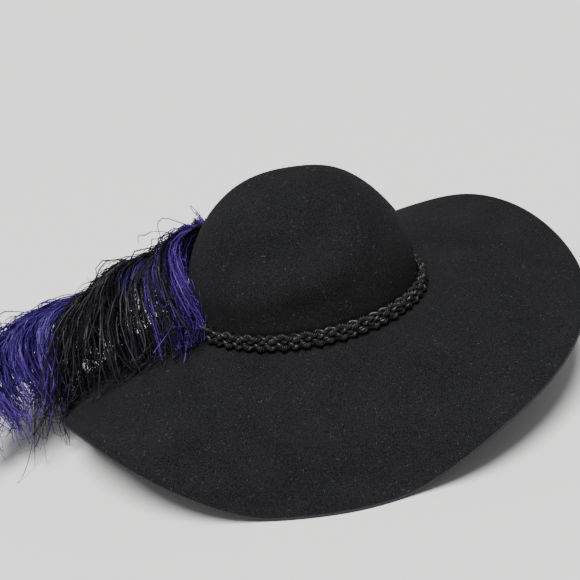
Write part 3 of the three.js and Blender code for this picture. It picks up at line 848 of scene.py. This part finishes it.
def feather_mesh(feather, dice):
    """One mesh of a feather: quill and barbs as tubes, with barbules on the barbs."""
    line, lock = barb_lines(feather, dice)
    count, rings = line.shape[:2]
    radius = barb_radius * dice.uniform(*barb_thickness, (count, 1)) * np.interp(barb_shares, *barb_taper)
    radius = radius * dice.uniform(*ring_thickness, (count, rings))
    barb_points, barb_faces = tubes(line, radius, unit(dice.normal(0, 1, (count, 1, 3))), barb_sides, 0)
    shares = np.linspace(feather["from"], feather["to"], quill_rings)
    radii = np.interp(shares, [feather["from"], feather["to"]], quill_taper)
    upright = np.array([[[0, 0, 1.0]]])
    quill_points, quill_faces = tubes(
        on_quill(shares)[None], radii[None], upright, quill_sides, len(barb_points)
    )
    barb_triangles = 2 * barb_sides * (rings - 1) + 2 * (barb_sides - 2)
    each = (feather_triangles // count - barb_triangles) // len(barbule_faces)
    first = len(barb_points) + len(quill_points)
    barbule_points, spikes, run = barbules(line, each, first, dice)

    mesh = bpy.data.meshes.new(feather["name"])
    points = np.concatenate([barb_points, quill_points, barbule_points])
    mesh.from_pydata(points.tolist(), [], barb_faces + quill_faces + spikes)
    tone = dice.normal(feather["tone"], barb_spread["tone"], (count, 1))
    tone = tone + dice.normal(0, lock_spread["tone"], feather["locks"])[lock][:, None]
    # Each ring of a barb is painted lighter or darker at random: partly tone, partly painted highlight for
    # the glints of its barbules.
    ring_tone_and_glints = tone + dice.normal(0, barb_spread["tone_and_glints_along"], (count, rings))
    spike_tone = tone + barbule_tone["lighter"] + dice.normal(0, barbule_tone["spread"], (count, each))
    bare = np.zeros(len(quill_points))
    ring_tones_and_glints = np.repeat(ring_tone_and_glints.reshape(-1), barb_sides)
    tones_and_glints = np.concatenate([ring_tones_and_glints, bare, np.repeat(spike_tone.reshape(-1), barbule_corners)])
    ring_runs = np.tile(np.repeat(barb_shares, barb_sides), count)
    runs = np.concatenate([ring_runs, bare, np.repeat(run.reshape(-1), barbule_corners)])
    for layer, values in (("barb_tone_and_glints", np.clip(tones_and_glints, 0, 1)), ("barb_run", runs)):
        mesh.attributes.new(layer, "FLOAT", "POINT").data.foreach_set("value", values.astype(np.float32))
    mesh.update()
    made = bpy.data.objects.new(feather["name"], mesh)
    bpy.context.collection.objects.link(made)
    return made


# How a barb is coloured is the same in both dyes: each barb has its own tone, and all are
# darker near the quill and lighter towards the tip. Stretches along each barb are painted lighter
# and darker, partly as random tone and partly as painted highlight for the glints of its barbules.
barb_shades = bpy.data.node_groups.new("barb_shades", "ShaderNodeTree")
for socket in ("Dark", "Light"):
    barb_shades.interface.new_socket(socket, in_out="INPUT", socket_type="NodeSocketColor")
barb_shades.interface.new_socket("Colour", in_out="OUTPUT", socket_type="NodeSocketColor")
group_in = barb_shades.nodes.new("NodeGroupInput")
group_out = barb_shades.nodes.new("NodeGroupOutput")
tone_and_glint_read = barb_shades.nodes.new("ShaderNodeAttribute")
tone_and_glint_read.attribute_name = "barb_tone_and_glints"
run_read = barb_shades.nodes.new("ShaderNodeAttribute")
run_read.attribute_name = "barb_run"
lighter = barb_shades.nodes.new("ShaderNodeMapRange")
lighter.inputs["To Min"].default_value = root_shade
lighter.inputs["To Max"].default_value = 1
barb_shades.links.new(run_read.outputs["Fac"], lighter.inputs["Value"])
how_light = barb_shades.nodes.new("ShaderNodeMath")
how_light.operation = "MULTIPLY"
barb_shades.links.new(tone_and_glint_read.outputs["Fac"], how_light.inputs[0])
barb_shades.links.new(lighter.outputs["Result"], how_light.inputs[1])
tone_mix = barb_shades.nodes.new("ShaderNodeMix")
tone_mix.data_type = "RGBA"
barb_shades.links.new(how_light.outputs["Value"], tone_mix.inputs["Factor"])
barb_shades.links.new(group_in.outputs["Dark"], tone_mix.inputs["A"])
barb_shades.links.new(group_in.outputs["Light"], tone_mix.inputs["B"])
barb_shades.links.new(tone_mix.outputs["Result"], group_out.inputs["Colour"])


def dyed_barbs(name, dark, light):
    """A silky dyed barb: its shades come from the shared group, its gloss is its own."""
    look, nodes, links, surface = start_look(name, roughness=0.45, specular=0.16)
    shades = nodes.new("ShaderNodeGroup")
    shades.node_tree = barb_shades
    shades.inputs["Dark"].default_value = dark
    shades.inputs["Light"].default_value = light
    links.new(shades.outputs["Colour"], surface.inputs["Base Color"])
    return look


feather_looks = {
    "violet_feather": dyed_barbs("violet_barbs", violet_dark, violet_light),
    "black_feather": dyed_barbs("black_barbs", black_dark, black_light),
}
for feather in feather_table:
    made = feather_mesh(feather, np.random.default_rng(feather["seed"]))
    made.data.materials.append(feather_looks[feather["slot"]])
    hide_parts(feather["node"])
    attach(made, "root")


# The fuzz: short loose fibres of wool that worked out of the felt. They lie curled on it, held
# only by clinging to it, and are paler than it is.

fuzz_count = 2400
fuzz_radius = 0.00006
fuzz_sides = 3
fuzz_segments = 6
fuzz_lengths = (0.001, 0.0038)
fuzz_curl = 1.2
fuzz_over = 0.0003
fuzz_faces_up = -0.1
fuzz_dark = (0.03, 0.03, 0.032, 1)
fuzz_light = (0.2, 0.2, 0.21, 1)
fuzz_shade_span = (0.35, 0.75)
fuzz_patches = 90
fuzz_dice = np.random.default_rng(11)
felt_faces = [face for face in felt.data.polygons if face.normal.z > fuzz_faces_up]
face_areas = np.array([face.area for face in felt_faces])
fuzz_faces = fuzz_dice.choice(len(felt_faces), fuzz_count, p=face_areas / face_areas.sum())
fuzz_start = np.array([felt_faces[k].center for k in fuzz_faces])
fuzz_up = np.array([felt_faces[k].normal for k in fuzz_faces])
fuzz_heading = unit(np.cross(fuzz_up, fuzz_dice.normal(0, 1, (fuzz_count, 3))))
fuzz_length = fuzz_dice.uniform(*fuzz_lengths, (fuzz_count, 1))
fuzz_bend = fuzz_dice.normal(0, fuzz_curl, (fuzz_count, 1)) * np.linspace(0, 1, fuzz_segments)
fuzz_steps = turn_about(fuzz_heading[:, None, :], fuzz_up[:, None, :], fuzz_bend)
fuzz_steps = fuzz_steps * (fuzz_length / fuzz_segments)[:, :, None]
fuzz_line = (fuzz_start + fuzz_up * fuzz_over)[:, None, :] + np.cumsum(fuzz_steps, axis=1)
fuzz_width = np.full((fuzz_count, fuzz_segments), fuzz_radius)
fuzz_points, fuzz_walls = tubes(fuzz_line, fuzz_width, fuzz_up[:, None, :], fuzz_sides, 0)
fuzz_mesh = bpy.data.meshes.new("felt_fuzz")
fuzz_mesh.from_pydata(fuzz_points.tolist(), [], fuzz_walls)
fuzz_mesh.update()
fuzz = bpy.data.objects.new("felt_fuzz", fuzz_mesh)
bpy.context.collection.objects.link(fuzz)
fuzz_look, nodes, links, surface = start_look("loose_wool", roughness=0.8, specular=0.1)
place = nodes.new("ShaderNodeTexCoord")
greys = noise_texture(nodes, links, place, fuzz_patches, detail=2)
wool = nodes.new("ShaderNodeValToRGB")
for stop, position, colour in zip(wool.color_ramp.elements, fuzz_shade_span, (fuzz_dark, fuzz_light)):
    stop.position = position
    stop.color = colour
links.new(greys.outputs["Fac"], wool.inputs["Fac"])
links.new(wool.outputs["Color"], surface.inputs["Base Color"])
fuzz.data.materials.append(fuzz_look)
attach(fuzz, "root")


# The studio: a plain pale floor, one broad soft light high on the camera's side, and pale air
# all round.

floor_size = 60
floor_colour = (0.84, 0.835, 0.82, 1)
sun_strength = 5.6
sun_spread = math.radians(26)
sun_direction = Vector((0.16, 0.3, -1))
air_colour = (0.97, 0.98, 1, 1)
air_strength = 0.34

bpy.ops.mesh.primitive_plane_add(size=floor_size, location=(crown_middle.x, crown_middle.y, 0))
floor = bpy.context.object
floor.name = "floor"
floor_look, nodes, links, surface = start_look("pale_floor", roughness=0.7, specular=0.5)
surface.inputs["Base Color"].default_value = floor_colour
floor.data.materials.append(floor_look)

sun_data = bpy.data.lights.new("overhead", "SUN")
sun_data.energy = sun_strength
sun_data.angle = sun_spread
sun = bpy.data.objects.new("overhead", sun_data)
sun.rotation_euler = sun_direction.to_track_quat("-Z", "Y").to_euler()
bpy.context.collection.objects.link(sun)
world = bpy.data.worlds.new("air")
world.use_nodes = True
world.node_tree.nodes["Background"].inputs["Color"].default_value = air_colour
world.node_tree.nodes["Background"].inputs["Strength"].default_value = air_strength
bpy.context.scene.world = world


# The camera stands where the photograph was taken from, measured from the crown's foot, and is
# tilted, rolled and turned in degrees.

camera_from_crown = Vector((-0.0484, -0.7868, 0.4284))
camera_tilt, camera_roll, camera_turn = 61.78, 9.45, -7.54
camera_lens = 62.07
camera_sensor = 36
camera_data = bpy.data.cameras.new("camera")
camera_data.lens = camera_lens
camera_data.sensor_width = camera_sensor
camera = bpy.data.objects.new("camera", camera_data)
camera.location = crown_foot + camera_from_crown
camera.rotation_euler = [math.radians(angle) for angle in (camera_tilt, camera_roll, camera_turn)]
bpy.context.collection.objects.link(camera)
bpy.context.scene.camera = camera
